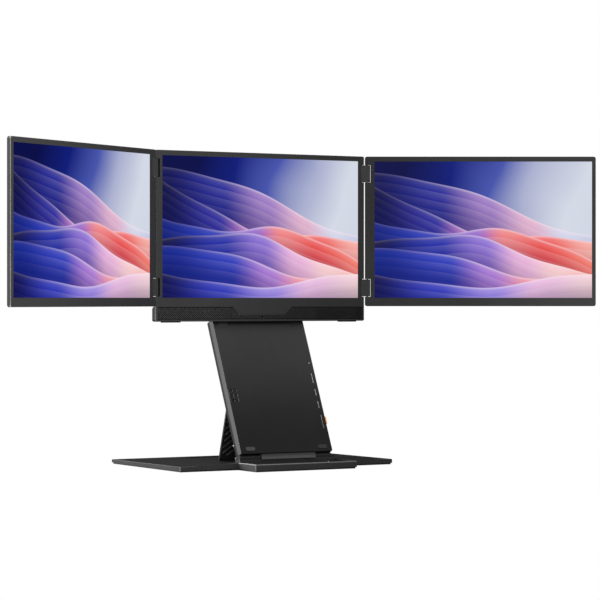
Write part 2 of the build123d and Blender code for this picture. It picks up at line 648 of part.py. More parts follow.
with BuildPart() as speaker_grille:
    with BuildSketch(Plane.XZ.offset(-0.4)):
        with BuildLine():
            g, z0, z1, z2 = GRILLE_HALF_W, GRILLE_Z0, PLATE_Z, GRILLE_Z1
            Polyline((-g, z0), (g, z0), (g, z2), (45.6, z2), (35.5, z1), (-35.5, z1), (-45.6, z2), (-g, z2), close=True)
        make_face()
    extrude(amount=-1.0)
save(speaker_grille.part, "speaker_grille")

for name, s in (("left_speaker", -1), ("right_speaker", 1)):
    with BuildPart() as speaker:
        with BuildSketch(Plane.XZ.offset(-1.9)):
            with Locations((s * 112, 202.8)):
                RectangleRounded(44, 11, 2.0)
        extrude(amount=-6.0)
        with BuildSketch(Plane.XZ.offset(-1.9)):
            with Locations((s * 112, 202.8)):
                SlotOverall(30, 8.4)
        extrude(amount=-1.4, mode=Mode.SUBTRACT)
    save(speaker.part, name)

with BuildPart() as microphone:
    with BuildSketch(Plane.XZ.offset(-1.7)):
        with Locations((0, 200.2)):
            Circle(2.0)
    extrude(amount=-2.0)
save(microphone.part, "microphone")

with BuildPart() as timing_board:
    with BuildSketch(Plane.XZ.offset(-5.4)):
        with Locations((0, 202.6)):
            Rectangle(150, 11.6)
    extrude(amount=-1.2)
    with BuildSketch(Plane.XZ.offset(-6.6)):
        with Locations((-44, 202.6), (44, 202.6)):
            Rectangle(22, 4)
        with Locations((0, 202.6)):
            Rectangle(8, 8)
    extrude(amount=-1.2)
save(timing_board.part, "timing_board")

with BuildPart() as chin_feet:
    with BuildSketch(Plane.XY.offset(CEN_Z0)):
        with Locations((-136.5, 5.5), (136.5, 5.5)):
            SlotOverall(29, 5.0)
    extrude(amount=-1.2)
save(chin_feet.part, "chin_feet")

# hinge leaf that carries the screens, behind the chin
with BuildPart() as screen_hinge_leaf:
    with Locations((0, TY, TZ)):
        Cylinder(4.5, 83.6, rotation=(0, 90, 0))
    with BuildSketch(Plane.YZ.offset(-41.8)):
        with BuildLine():
            Polyline((CHIN_T, TZ + 0.6), (TY, TZ + 0.6), (TY, TZ + 4.4), (CHIN_T + 2.2, TZ + 5.6),
                     (CHIN_T + 2.0, 209.3), (CHIN_T, 209.3), close=True)
        make_face()
    extrude(amount=83.6)
    with Locations((0, TY, TZ)):
        Cylinder(BORE_R, 150, rotation=(0, 90, 0), mode=Mode.SUBTRACT)
save(screen_hinge_leaf.part, "screen_hinge_leaf")

with BuildPart() as centre_hinge_pins:
    with Locations(*[(s * HINGE_CX, HINGE_CY, z) for s in (-1, 1) for z in BLOCK_ZS]):
        Cylinder(SIDE_PIN_R, 36)
save(centre_hinge_pins.part, "centre_hinge_pins")


# ---------------------------------------------------------------------------
# Side hinges and side screens: the right one is built, the left one mirrors it
# ---------------------------------------------------------------------------

with BuildPart() as right_hinge_blocks:
    for z in BLOCK_ZS:
        with BuildSketch(LINK.offset(z - BLOCK_H / 2)):
            with Locations(((HINGE_S + BLOCK_OUT - BLOCK_IN) / 2, 0)):
                RectangleRounded(HINGE_S + BLOCK_OUT + BLOCK_IN, 2 * BLOCK_R, 1.6)
            with Locations((0, 0), (HINGE_S, 0)):
                Circle(SIDE_BORE_R, mode=Mode.SUBTRACT)
        extrude(amount=BLOCK_H)
save(right_hinge_blocks.part, "right_hinge_blocks")

with BuildPart() as right_bezel:
    with BuildSketch(WING.offset(HINGE_DEPTH - WING_SPLIT)):
        with Locations((WING_AC, WING_ZC)):
            RectangleRounded(WING_W, WING_Z1 - WING_Z0, 3.0)
    extrude(amount=WING_SPLIT)
    fillet(right_bezel.faces().sort_by(Axis((0, 0, 0), (-sin(aW), -cos(aW), 0)))[-1].edges(), 0.7)
    # rounder inner edge, beside the hinge
    with BuildSketch(WING_FOOT):
        with Locations((-HINGE_IN + (WING_ROUND - 1) / 2, -HINGE_DEPTH + (WING_ROUND - 1) / 2)):
            Rectangle(WING_ROUND + 1, WING_ROUND + 1)
        with Locations((-HINGE_IN + WING_ROUND, -HINGE_DEPTH + WING_ROUND)):
            Circle(WING_ROUND, mode=Mode.SUBTRACT)
    extrude(amount=WING_Z1 - WING_Z0 + 2, mode=Mode.SUBTRACT)
    with BuildSketch(WING.offset(HINGE_DEPTH + 1)):
        with Locations((WDISP_AC + 0.35, DISP_ZC)):
            Rectangle(DISP_W - 0.7, DISP_H)
    extrude(amount=-6, mode=Mode.SUBTRACT)
    with BuildSketch(WING.offset(HINGE_DEPTH - LIP)):
        with Locations((WDISP_AC, DISP_ZC)):
            Rectangle(DISP_W + 4.6, DISP_H + 4.8)
    extrude(amount=-6, mode=Mode.SUBTRACT)
    for z0, z1 in CUT_ZS:
        with BuildSketch(WING.offset(10)):
            with Locations((WING_A0 - 5 + CUT_WING / 2, (z0 + z1) / 2)):
                Rectangle(CUT_WING + 10, z1 - z0)
        extrude(amount=-20, mode=Mode.SUBTRACT)
    with Locations(*[(WX, WY, z) for z in BLOCK_ZS]):
        Cylinder(SIDE_BORE_R, 37, mode=Mode.SUBTRACT)
save(right_bezel.part, "right_bezel")

with BuildPart() as right_back:
    with BuildSketch(WING.offset(HINGE_DEPTH - WING_T)):
        with Locations((WING_AC, WING_ZC)):
            RectangleRounded(WING_W, WING_Z1 - WING_Z0, 3.0)
    extrude(amount=WING_T - WING_SPLIT)
    chamfer(right_back.faces().sort_by(Axis((0, 0, 0), (-sin(aW), -cos(aW), 0)))[0].edges(), 1.0)
    with BuildSketch(WING_FOOT):
        with BuildLine():
            Polyline((-HINGE_IN - 1, WING_T - HINGE_DEPTH - WING_BEVEL - 1), (-HINGE_IN - 1, WING_T - HINGE_DEPTH + 1),
                     (-HINGE_IN + WING_BEVEL + 1, WING_T - HINGE_DEPTH + 1), close=True)
        make_face()
    extrude(amount=WING_Z1 - WING_Z0 + 2, mode=Mode.SUBTRACT)
    with BuildSketch(WING.offset(HINGE_DEPTH)):
        with Locations((WDISP_AC, DISP_ZC)):
            Rectangle(DISP_W + 4.6, DISP_H + 4.8)
    extrude(amount=-(WING_T - 1.2), mode=Mode.SUBTRACT)
    for z0, z1 in CUT_ZS:
        with BuildSketch(WING.offset(10)):
            with Locations((WING_A0 - 5 + CUT_WING / 2, (z0 + z1) / 2)):
                Rectangle(CUT_WING + 10, z1 - z0)
        extrude(amount=-20, mode=Mode.SUBTRACT)
    with Locations(*[(WX, WY, z) for z in BLOCK_ZS]):
        Cylinder(SIDE_BORE_R, 37, mode=Mode.SUBTRACT)
save(right_back.part, "right_back")

with BuildPart() as right_lcd:
    with BuildSketch(WING.offset(HINGE_DEPTH - LIP)):
        with Locations((WDISP_AC, DISP_ZC)):
            Rectangle(DISP_W + 4.0, DISP_H + 4.2)
    extrude(amount=-2.6)
save(right_lcd.part, "right_lcd")

with BuildPart() as right_backlight:
    with BuildSketch(WING.offset(HINGE_DEPTH - 3.4)):
        with Locations((WDISP_AC, DISP_ZC)):
            Rectangle(DISP_W + 2.0, DISP_H + 2.0)
    extrude(amount=-1.8)
save(right_backlight.part, "right_backlight")

with BuildPart() as right_wing_pins:
    with Locations(*[(WX, WY, z) for z in BLOCK_ZS]):
        Cylinder(SIDE_PIN_R, 36)
save(right_wing_pins.part, "right_wing_pins")

for name, source in (("left_hinge_blocks", right_hinge_blocks), ("left_bezel", right_bezel),
                     ("left_back", right_back), ("left_lcd", right_lcd),
                     ("left_backlight", right_backlight), ("left_wing_pins", right_wing_pins)):
    with BuildPart() as left_piece:
        mirror(source.part, about=Plane.YZ)
    save(left_piece.part, name)
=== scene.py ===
import math

import bmesh
import bpy
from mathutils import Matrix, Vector


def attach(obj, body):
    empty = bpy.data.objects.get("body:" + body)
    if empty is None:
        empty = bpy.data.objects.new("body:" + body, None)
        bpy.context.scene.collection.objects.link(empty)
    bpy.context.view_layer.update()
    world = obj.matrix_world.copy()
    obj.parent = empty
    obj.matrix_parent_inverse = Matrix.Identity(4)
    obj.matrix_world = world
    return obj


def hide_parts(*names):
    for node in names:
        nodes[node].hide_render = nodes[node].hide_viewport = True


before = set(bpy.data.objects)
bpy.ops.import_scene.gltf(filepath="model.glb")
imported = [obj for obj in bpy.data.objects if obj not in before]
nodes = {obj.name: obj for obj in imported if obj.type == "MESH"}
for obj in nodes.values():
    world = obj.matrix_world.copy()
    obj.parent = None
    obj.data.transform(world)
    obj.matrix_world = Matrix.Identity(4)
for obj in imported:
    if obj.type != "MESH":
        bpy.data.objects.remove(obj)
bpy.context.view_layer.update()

# ---------------------------------------------------------------------------
# the part's planes, in metres
# ---------------------------------------------------------------------------
LEAN = math.radians(24.8)
SL, CL = math.sin(LEAN), math.cos(LEAN)
LIFT = 0.0019                      # height of the base cover's datum above the table
HINGE = Vector((0.0, -0.060, 0.013 + LIFT))
ACROSS = Vector((1, 0, 0))
UP_PANEL = Vector((0, SL, CL))
OUT_PANEL = Vector((0, -CL, SL))
DISP_W, DISP_H, DISP_Z0 = 0.3016, 0.1885, 0.2247 + LIFT
A_LINK, A_WING = math.radians(22.0), math.radians(30.0)
WX = 0.1585 + 0.0084 * math.cos(A_LINK)
WY = 0.0033 - 0.0084 * math.sin(A_LINK)
PICTURE_IN = 0.01255 - 0.0032      # from the side screen's hinge axis to its picture


def on_panel(x, u, out=0.0):
    """A point across, along and out of the stand panel, given in millimetres."""
    return HINGE + ACROSS * (x / 1000) + UP_PANEL * (u / 1000) + OUT_PANEL * (out / 1000)


# ---------------------------------------------------------------------------
# node helpers
# ---------------------------------------------------------------------------
def lin(v):
    v = v / 255.0
    return v / 12.92 if v <= 0.04045 else ((v + 0.055) / 1.055) ** 2.4


def rgb(r, g, b):
    return (lin(r), lin(g), lin(b), 1.0)


def new_material(name):
    m = bpy.data.materials.new(name)
    m.use_nodes = True
    return m, m.node_tree, m.node_tree.nodes["Principled BSDF"]


def math_node(nt, op, *values, clamp=False):
    n = nt.nodes.new("ShaderNodeMath")
    n.operation = op
    n.use_clamp = clamp
    for i, v in enumerate(values):
        if isinstance(v, (int, float)):
            n.inputs[i].default_value = v
        else:
            nt.links.new(v, n.inputs[i])
    return n.outputs[0]


def coords(nt):
    return nt.nodes.new("ShaderNodeTexCoord").outputs["Object"]


def stretched(nt, vector, scale, turn=(0, 0, 0)):
    n = nt.nodes.new("ShaderNodeMapping")
    n.inputs["Scale"].default_value = scale
    n.inputs["Rotation"].default_value = turn
    nt.links.new(vector, n.inputs["Vector"])
    return n.outputs[0]


def noise(nt, vector, scale, detail=2.0, rough=0.5):
    n = nt.nodes.new("ShaderNodeTexNoise")
    n.inputs["Scale"].default_value = scale
    n.inputs["Detail"].default_value = detail
    n.inputs["Roughness"].default_value = rough
    nt.links.new(vector, n.inputs["Vector"])
    return n.outputs["Fac"]


def remap(nt, value, a, b, to_a, to_b, smooth=False):
    n = nt.nodes.new("ShaderNodeMapRange")
    if smooth:
        n.interpolation_type = "SMOOTHSTEP"
    nt.links.new(value, n.inputs["Value"])
    for key, v in (("From Min", a), ("From Max", b), ("To Min", to_a), ("To Max", to_b)):
        n.inputs[key].default_value = v
    return n.outputs[0]


def mix(nt, factor, a, b):
    n = nt.nodes.new("ShaderNodeMix")
    n.data_type = "RGBA"
    if isinstance(factor, (int, float)):
        n.inputs[0].default_value = factor
    else:
        nt.links.new(factor, n.inputs[0])
    for i, v in ((6, a), (7, b)):
        if isinstance(v, tuple):
            n.inputs[i].default_value = v
        else:
            nt.links.new(v, n.inputs[i])
    return n.outputs[2]


def ramp(nt, value, stops, mode="LINEAR"):
    n = nt.nodes.new("ShaderNodeValToRGB")
    n.color_ramp.interpolation = mode
    e = n.color_ramp.elements
    while len(e) < len(stops):
        e.new(0.5)
    for i, (p, c) in enumerate(stops):
        e[i].position = p
        e[i].color = c
    nt.links.new(value, n.inputs["Fac"])
    return n.outputs["Color"]


def bump(nt, height, distance, strength=1.0, onto=None):
    n = nt.nodes.new("ShaderNodeBump")
    n.inputs["Strength"].default_value = strength
    n.inputs["Distance"].default_value = distance
    nt.links.new(height, n.inputs["Height"])
    if onto is not None:
        nt.links.new(onto, n.inputs["Normal"])
    return n.outputs[0]


def assign(material, *names):
    for name in names:
        o = nodes[name]
        o.data.materials.clear()
        o.data.materials.append(material)


# ---------------------------------------------------------------------------
# materials
# ---------------------------------------------------------------------------
def toned(nt, colour, factor):
    """A colour made lighter or darker by a factor."""
    n = nt.nodes.new("ShaderNodeVectorMath")
    n.operation = "SCALE"
    nt.links.new(colour, n.inputs[0])
    nt.links.new(factor, n.inputs["Scale"])
    return n.outputs[0]


def coated(name, dark, light, rough=(0.42, 0.55), metallic=0.0, specular=0.5,
           grain=1500.0, depth=0.00003, cloud=9.0, coat=0.0, brushed=None, fade=None, painted_rim_highlight=0.0, slot=False):
    """A fine coated or moulded surface: cloudy tone, speckle, uneven gloss and a fine grain.

    fade: (axis, from, to, tone at from, tone at to), painted light and shade: a slow change of tone across the piece;
    an axis written nX, -nX and so on goes by the way a face looks instead of its place, so faces turned to or from the
    lamps are painted lighter or darker.
    rim: a painted highlight, how much lighter the narrow rounded and bevelled edges are made, as if they caught the
    light."""
    m, nt, b = new_material(name)
    c = coords(nt)
    looks = nt.nodes.new("ShaderNodeTexCoord").outputs["Normal"]
    clouds = noise(nt, c, cloud, 3.0, 0.6)
    fine = noise(nt, stretched(nt, c, brushed) if brushed else c, grain, 2.0, 0.6)
    speck = noise(nt, c, grain * 0.35, 1.0, 0.5)
    tone = math_node(nt, "ADD", math_node(nt, "MULTIPLY", clouds, 0.55),
                     math_node(nt, "MULTIPLY", math_node(nt, "ADD", fine, speck), 0.225))
    colour = mix(nt, remap(nt, tone, 0.36, 0.64, 0.0, 1.0), dark, light)
    # painted light and shade: each fade scales the colour by place or by the way a face looks
    for axis, a, z, low, high in fade or ():
        split = nt.nodes.new("ShaderNodeSeparateXYZ")
        nt.links.new(looks if "n" in axis else c, split.inputs[0])
        value = split.outputs[axis[-1]]
        if axis[0] == "-":
            value = math_node(nt, "MULTIPLY", value, -1.0)
        if axis[0] == "|":
            value = math_node(nt, "ABSOLUTE", value)
        colour = toned(nt, colour, remap(nt, value, a, z, low, high, smooth=True))
    # painted highlight on the rounded and bevelled edges, where the normal lies between the axes
    if painted_rim_highlight:
        split = nt.nodes.new("ShaderNodeSeparateXYZ")
        nt.links.new(looks, split.inputs[0])
        parts = [math_node(nt, "ABSOLUTE", split.outputs[k]) for k in "XYZ"]
        most = math_node(nt, "MAXIMUM", math_node(nt, "MAXIMUM", parts[0], parts[1]), parts[2])
        colour = toned(nt, colour, remap(nt, most, 0.8, 0.97, 1.0 + painted_rim_highlight, 1.0))
    if slot:
        # the end walls of the hinge cut-outs sit in deep shade
        split = nt.nodes.new("ShaderNodeSeparateXYZ")
        nt.links.new(looks, split.inputs[0])
        where = nt.nodes.new("ShaderNodeSeparateXYZ")
        nt.links.new(c, where.inputs[0])
        facing = remap(nt, math_node(nt, "ABSOLUTE", split.outputs["X"]), 0.5, 0.7, 0.0, 1.0)
        inner = remap(nt, math_node(nt, "ABSOLUTE", where.outputs["X"]), 0.157, 0.158, 1.0, 0.0)
        colour = toned(nt, colour, math_node(nt, "SUBTRACT", 1.0, math_node(
            nt, "MULTIPLY", math_node(nt, "MULTIPLY", facing, inner), 0.85)))
    nt.links.new(colour, b.inputs["Base Color"])
    smudge = noise(nt, c, cloud * 3.1, 4.0, 0.65)
    nt.links.new(remap(nt, smudge, 0.32, 0.68, rough[0], rough[1]), b.inputs["Roughness"])
    b.inputs["Metallic"].default_value = metallic
    b.inputs["Specular IOR Level"].default_value = specular
    if coat:
        b.inputs["Coat Weight"].default_value = coat
        b.inputs["Coat Roughness"].default_value = 0.25
    nt.links.new(bump(nt, fine, depth, 0.6), b.inputs["Normal"])
    return m


# Painted light and shade: the three frames are lit and shaded copies of one charcoal plastic. The left frame is lighter
# towards its outer end and on faces turned to the left, with its outer side face painted dark; the right frame is
# darker towards the middle and lighter low down; the centre frame is lighter on the left and darker on faces turned to
# the left, with painted highlights on its rounded edges and painted shade in its hinge slots.
left_plastic = coated("charcoal left frame", rgb(57, 57, 57), rgb(65, 65, 65), (0.5, 0.62), specular=0.28,
                      depth=0.000012,
                      fade=[("X", -0.44, -0.17, 1.75, 0.95), ("-nX", 0.0, 0.6, 1.0, 3.4), ("-nX", 0.82, 0.862, 1.0, 0.03)])
right_plastic = coated("charcoal right frame", rgb(46, 46, 46), rgb(54, 54, 54), (0.5, 0.62), specular=0.3,
                       fade=[("X", 0.17, 0.44, 0.50, 0.95), ("Z", 0.22, 0.40, 1.5, 0.82)])
centre_plastic = coated("charcoal centre frame", rgb(50, 50, 50), rgb(58, 58, 58), (0.5, 0.62), specular=0.35,
                        fade=[("X", -0.16, 0.16, 1.2, 0.5), ("-nX", 0.75, 0.98, 1.0, 0.2)], painted_rim_highlight=0.6, slot=True)
# Painted shade: the centre back is darker on faces turned to the left and to the front, and in its hinge slots; the
# left back's outer side face is painted dark.
centre_metal = coated("blasted centre back", rgb(58, 58, 60), rgb(68, 68, 70), (0.4, 0.5), metallic=0.3,
                      grain=2200.0, depth=0.00002, fade=[("-nX", 0.75, 0.98, 1.0, 0.28), ("-nY", 0.7, 0.95, 1.0, 0.08)], slot=True)
left_metal = coated("blasted left back", rgb(58, 58, 60), rgb(68, 68, 70), (0.52, 0.55), specular=0.28,
                    grain=2200.0, depth=0.000008, fade=[("-nX", 0.82, 0.862, 1.0, 0.05)])
for m, flat in ((left_plastic, 0.165), (left_metal, 0.15)):
    # the outer side face is duller than the rounded edge beside it
    nt = m.node_tree
    split = nt.nodes.new("ShaderNodeSeparateXYZ")
    nt.links.new(nt.nodes.new("ShaderNodeTexCoord").outputs["Normal"], split.inputs[0])
    nt.links.new(remap(nt, math_node(nt, "MULTIPLY", split.outputs["X"], -1.0), 0.82, 0.862, 0.28, flat),
                 nt.nodes["Principled BSDF"].inputs["Specular IOR Level"])
# Painted light: the right back is lighter on faces turned to the back, where no lamp reaches.
back_metal = coated("blasted dark aluminium", rgb(58, 58, 60), rgb(68, 68, 70), (0.44, 0.48), metallic=0.3,
                    grain=2200.0, depth=0.00002, fade=[("nY", 0.5, 0.8, 1.0, 1.8)])
# Painted shade: the panel is darker towards its foot and in a band under the chin, a painted shadow; its back is darker
# towards the bottom.
panel_metal = coated("blasted dark panel", rgb(56, 56, 57), rgb(64, 64, 65), (0.45, 0.56), specular=0.15,
                     grain=2200.0, depth=0.00002, fade=[("Z", 0.03, 0.19, 0.32, 1.14), ("Z", 0.1865 + LIFT, 0.1935 + LIFT, 1.0, 0.12)])
panel_back_metal = coated("blasted dark panel back", rgb(42, 42, 43), rgb(50, 50, 51), (0.45, 0.55), specular=0.2,
                          grain=2200.0, depth=0.00002, fade=[("Z", 0.02, 0.12, 0.28, 0.60)])
# Painted light and shade: the base is darker towards the right, lighter on faces turned to the left and to the front
# and on everything above 7.6 mm, with painted highlights on its bevelled and rounded edges.
stand_metal = coated("fine dark base coating", rgb(47, 47, 48), rgb(57, 57, 58), (0.4, 0.52), specular=0.35,
                     fade=[("X", -0.16, 0.16, 0.75, 0.46), ("-nX", 0.5, 0.9, 1.0, 1.1), ("-nY", 0.7, 0.95, 1.0, 1.5),
                           ("Z", 0.0070 + LIFT, 0.0076 + LIFT, 1.0, 2.1)],
                     painted_rim_highlight=3.2)
pan_steel = coated("black bottom plate", rgb(30, 30, 31), rgb(38, 38, 39), (0.5, 0.65))
ballast_steel = coated("sawn steel", rgb(110, 108, 104), rgb(150, 147, 142), (0.4, 0.6), metallic=0.9,
                       brushed=(1.0, 0.04, 1.0), grain=800.0)
# Painted shade and light: the rail is painted dark in a band below its top and lighter low down, where the lighter band
# stands in for the sunk floor behind the block's rim.
rail_metal = coated("dark hinge rail", rgb(36, 36, 37), rgb(44, 44, 45), (0.5, 0.62), specular=0.35,
                    fade=[("Z", 0.0138 + LIFT, 0.0148 + LIFT, 0.33, 1.0), ("Z", 0.0112 + LIFT, 0.0119 + LIFT, 3.7, 1.0),
                          ("Z", 0.0098 + LIFT, 0.0103 + LIFT, 0.68, 1.0)])
# Painted shade: the hinge strip grows darker towards its top.
hinge_strip = coated("satin hinge strip", rgb(62, 62, 63), rgb(72, 72, 73), (0.34, 0.46), metallic=0.15,
                     brushed=(0.03, 1.0, 1.0), grain=1400.0, fade=[("Z", 0.0130 + LIFT, 0.0187 + LIFT, 1.25, 0.24)])
bracket_steel = coated("black steel bracket", rgb(28, 28, 29), rgb(38, 38, 39), (0.4, 0.55))
# Painted light: the hinge blocks are lighter on the left, on faces turned to the left and on faces turned up.
hinge_block = coated("satin hinge block", rgb(46, 46, 47), rgb(54, 54, 55), (0.4, 0.5), specular=0.4,
                     fade=[("X", -0.16, 0.16, 1.75, 0.6), ("-nX", 0.5, 0.9, 1.0, 1.8), ("nZ", 0.5, 0.9, 1.0, 2.0)])
kick_metal = coated("black kickstand", rgb(38, 38, 39), rgb(46, 46, 47), (0.45, 0.6), specular=0.3)
rubber_black = coated("black rubber", rgb(22, 22, 22), rgb(32, 32, 32), (0.75, 0.9), specular=0.3,
                      grain=700.0, depth=0.00006)
# Painted light and shade: the pads are lighter on the left, and those at the top are darker in a band under the chin, a
# painted shadow.
rubber_grey = coated("grey rubber pad", rgb(66, 66, 67), rgb(78, 78, 79), (0.6, 0.75), specular=0.35,
                     grain=700.0, depth=0.00002, fade=[("X", -0.05, 0.05, 1.1, 0.55),
                                                       ("Z", 0.1865 + LIFT, 0.1935 + LIFT, 1.0, 0.12)])
speaker_black = coated("speaker black", rgb(3, 3, 3), rgb(6, 6, 6), (0.6, 0.8), specular=0.03)
button_black = coated("button black", rgb(38, 38, 39), rgb(50, 50, 51), (0.3, 0.42))
orange = coated("orange switch", rgb(244, 150, 62), rgb(255, 170, 80), (0.38, 0.48), grain=900.0, coat=0.2)
# Painted glow: the switch is given a faint emission so it reads brighter, though it is no lamp.
orange.node_tree.nodes["Principled BSDF"].inputs["Emission Color"].default_value = rgb(255, 170, 84)
orange.node_tree.nodes["Principled BSDF"].inputs["Emission Strength"].default_value = 0.25
spreader = coated("bare aluminium sheet", rgb(170, 171, 172), rgb(196, 197, 198), (0.3, 0.42), metallic=0.95,
                  brushed=(0.03, 1.0, 1.0), grain=900.0)
diffuser = coated("white light guide", rgb(226, 228, 230), rgb(238, 240, 242), (0.4, 0.5))
nickel = coated("nickel shell", rgb(150, 150, 152), rgb(182, 182, 184), (0.24, 0.34), metallic=0.95)
pin_dark = coated("blackened steel pin", rgb(40, 40, 41), rgb(52, 52, 53), (0.45, 0.55), specular=0.3)
screw_light = coated("light screw head", rgb(150, 150, 150), rgb(176, 176, 176), (0.4, 0.5), metallic=0.1,
                     grain=1200.0, depth=0.00001)
pin_grey = coated("dull steel pin", rgb(62, 62, 63), rgb(74, 74, 75), (0.5, 0.6), specular=0.3,
                  brushed=(1.0, 1.0, 0.1), grain=1200.0, depth=0.00001)
pin_steel = coated("polished steel", rgb(196, 196, 198), rgb(222, 222, 224), (0.16, 0.26), metallic=1.0,
                   brushed=(1.0, 1.0, 0.1), grain=1200.0, depth=0.00001)


def circuit_board():
    m, nt, b = new_material("circuit board")
    c = coords(nt)
    cells = nt.nodes.new("ShaderNodeTexVoronoi")
    cells.distance = "MANHATTAN"
    cells.feature = "DISTANCE_TO_EDGE"
    cells.inputs["Scale"].default_value = 260
    nt.links.new(c, cells.inputs["Vector"])
    tracks = remap(nt, cells.outputs["Distance"], 0.04, 0.09, 1.0, 0.0)
    nt.links.new(mix(nt, tracks, rgb(14, 62, 36), rgb(52, 112, 60)), b.inputs["Base Color"])
    nt.links.new(remap(nt, noise(nt, c, 40), 0.3, 0.7, 0.3, 0.45), b.inputs["Roughness"])
    nt.links.new(bump(nt, tracks, 0.00003), b.inputs["Normal"])
    return m


def paint_rib_highlights(m):
    """Painted highlight: lighter crests where the kickstand's ribs stand above its plate, as if they caught the light.
    """
    nt = m.node_tree
    b = nt.nodes["Principled BSDF"]
    pivot = on_panel(0, 92.0, -1.0)
    less = nt.nodes.new("ShaderNodeVectorMath")
    less.operation = "SUBTRACT"
    nt.links.new(coords(nt), less.inputs[0])
    less.inputs[1].default_value = pivot
    dot = nt.nodes.new("ShaderNodeVectorMath")
    dot.operation = "DOT_PRODUCT"
    nt.links.new(less.outputs[0], dot.inputs[0])
    dot.inputs[1].default_value = (0, -CL, -SL)
    old = b.inputs["Base Color"].links[0].from_socket
    nt.links.new(toned(nt, old, remap(nt, dot.outputs["Value"], 0.0016, 0.0021, 1.0, 7.0)), b.inputs["Base Color"])


def paint_lit_left_side(m, colour):
    """Painted light: the left side face is made lighter, as where the lamp from the left falls on it."""
    nt = m.node_tree
    b = nt.nodes["Principled BSDF"]
    split = nt.nodes.new("ShaderNodeSeparateXYZ")
    nt.links.new(nt.nodes.new("ShaderNodeTexCoord").outputs["Normal"], split.inputs[0])
    side = remap(nt, math_node(nt, "MULTIPLY", split.outputs["X"], -1.0), 0.6, 0.95, 0.0, 1.0)
    old = b.inputs["Base Color"].links[0].from_socket
    # a soft dark line beside the seam with the back shell
    less = nt.nodes.new("ShaderNodeVectorMath")
    less.operation = "SUBTRACT"
    nt.links.new(coords(nt), less.inputs[0])
    less.inputs[1].default_value = on_panel(0, 0, 0)
    out = nt.nodes.new("ShaderNodeVectorMath")
    out.operation = "DOT_PRODUCT"
    nt.links.new(less.outputs[0], out.inputs[0])
    out.inputs[1].default_value = (0, -CL, SL)
    colour = mix(nt, remap(nt, out.outputs["Value"], -0.0008, 0.0022, 0.0, 1.0),
                 tuple(v * 0.42 for v in colour[:3]) + (1.0,), colour)
    speckle = toned(nt, colour, remap(nt, noise(nt, coords(nt), 1400.0), 0.3, 0.7, 0.92, 1.08))
    nt.links.new(mix(nt, side, old, speckle), b.inputs["Base Color"])


def lens(name, colour, strength):
    m, nt, b = new_material(name)
    glow = noise(nt, coords(nt), 900.0, 1.0)
    nt.links.new(mix(nt, remap(nt, glow, 0.3, 0.7, 0.0, 1.0), colour, rgb(255, 255, 255)), b.inputs["Emission Color"])
    b.inputs["Emission Strength"].default_value = strength
    b.inputs["Base Color"].default_value = colour
    b.inputs["Roughness"].default_value = 0.2
    return m


